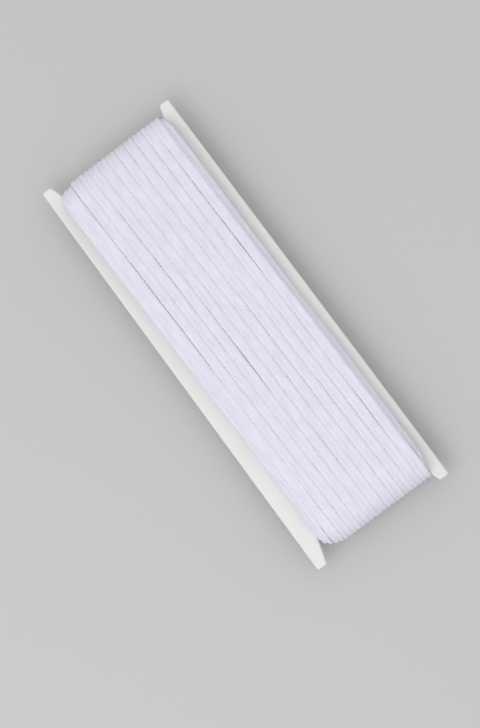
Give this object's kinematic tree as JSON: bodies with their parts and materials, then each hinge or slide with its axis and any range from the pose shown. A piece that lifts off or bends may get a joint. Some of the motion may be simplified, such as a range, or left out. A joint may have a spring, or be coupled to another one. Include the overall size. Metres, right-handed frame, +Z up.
{
  "type": "string reel",
  "caption": "Flat H-shaped plastic winding card with a length of soft, flat braided string wound lengthwise between its side rails.",
  "frame": {"origin": "middle of the footprint, on the surface that the reel lies on, which touches the flat underside of the winding", "axes": "+X along the card's length and its rails, +Y across the card from the side where the winding stops to the side where it starts, +Z up through the card's thickness"},
  "size_m": [0.13, 0.044, 0.0134],
  "materials": {
    "card_plastic": "injection-moulded white polypropylene, satin",
    "string_braid": "soft flat braid, optically whitened polyester with a faint lavender cast"
  },
  "bodies": {
    "root": {"winding_card": "card_plastic", "string_winding": "string_braid"}
  },
  "joints": []
}
